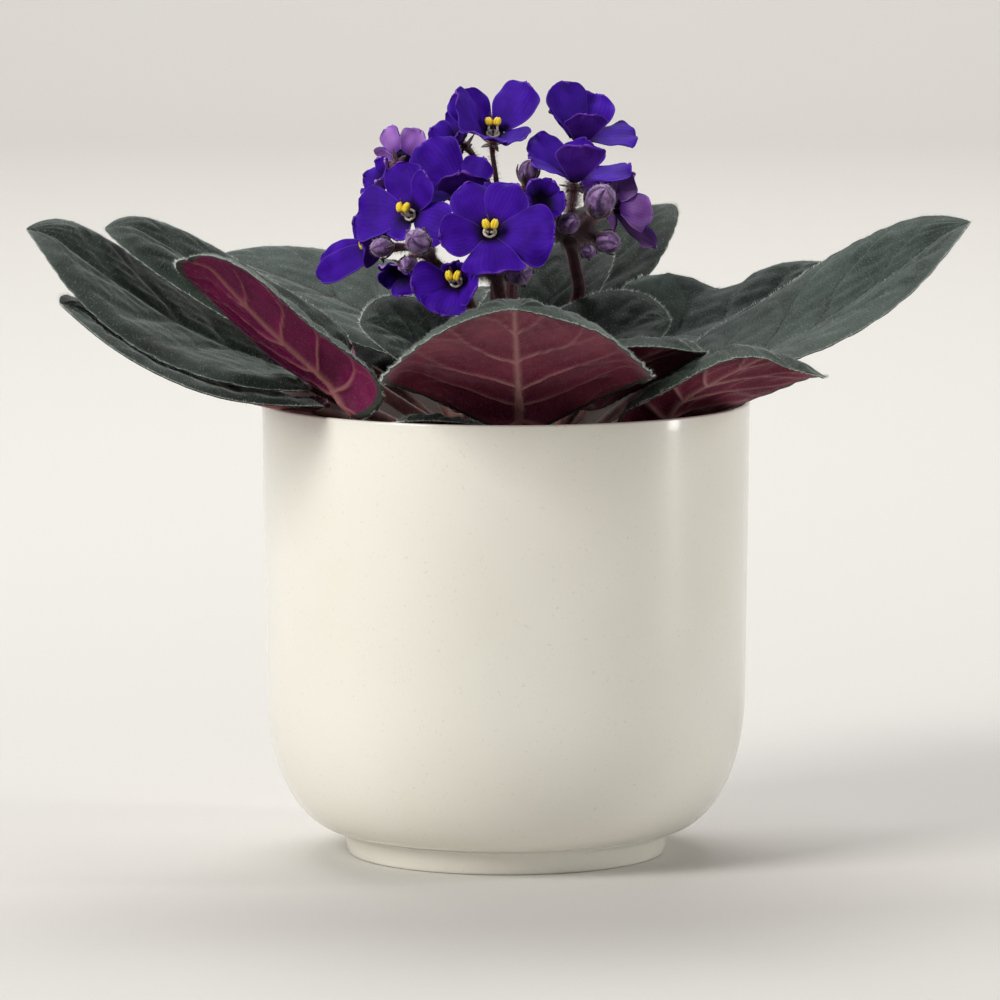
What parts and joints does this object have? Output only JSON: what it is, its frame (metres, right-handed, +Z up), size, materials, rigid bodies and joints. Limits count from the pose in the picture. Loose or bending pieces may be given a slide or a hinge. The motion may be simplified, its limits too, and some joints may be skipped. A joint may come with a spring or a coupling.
{
  "type": "potted african violet",
  "caption": "African violet in flower in a plain round cream pot: a rosette of velvety leaves with purple undersides round branched stalks of violet flowers and buds.",
  "frame": {"origin": "bottom centre: on the pot's axis, on the plane that its foot ring stands on", "axes": "+Z up along the pot's axis, -Y towards the front of the plant, +X to its right seen from the front"},
  "size_m": [0.2864, 0.2643, 0.2395],
  "materials": {
    "pot_glaze": "satin",
    "potting_soil": "matte",
    "crown": "matte",
    "leaf": "matte",
    "flower_stalk": "matte",
    "petal": "satin",
    "anther": "matte",
    "bud": "matte"
  },
  "bodies": {
    "root": {"pot": "pot_glaze", "potting_soil": "potting_soil", "crown": "crown", "leaf_left_long": "leaf", "leaf_left_low": "leaf", "leaf_left_short": "leaf", "leaf_left_back": "leaf", "leaf_back_left": "leaf", "leaf_front_left": "leaf", "leaf_front": "leaf", "leaf_front_right": "leaf", "leaf_front_middle": "leaf", "leaf_under_front": "leaf", "leaf_right_long": "leaf", "leaf_right_short": "leaf", "leaf_back_right": "leaf", "leaf_back": "leaf", "leaf_back_upright": "leaf", "leaf_inner_left": "leaf", "leaf_inner_right": "leaf", "leaf_inner_back": "leaf", "corolla_front": "petal", "stamens_front": "anther", "corolla_left": "petal", "stamens_left": "anther", "corolla_lower_left": "petal", "stamens_lower_left": "anther", "corolla_low": "petal", "stamens_low": "anther", "corolla_top": "petal", "stamens_top": "anther", "corolla_upper_left": "petal", "stamens_upper_left": "anther", "corolla_upper_right": "petal", "stamens_upper_right": "anther", "corolla_top_right": "petal", "stamens_top_right": "anther", "corolla_right": "petal", "stamens_right": "anther", "corolla_back_left": "petal", "stamens_back_left": "anther", "corolla_back": "petal", "stamens_back": "anther", "corolla_top_left": "petal", "corolla_side_left": "petal", "corolla_side_right": "petal", "corolla_hanging": "petal", "corolla_back_right": "petal", "bud_1": "bud", "bud_2": "bud", "bud_3": "bud", "bud_4": "bud", "bud_5": "bud", "bud_6": "bud", "bud_7": "bud", "stalk_right": "flower_stalk", "stalk_left": "flower_stalk", "stalk_front": "flower_stalk", "stalk_top": "flower_stalk", "stalk_back": "flower_stalk"}
  },
  "joints": []
}
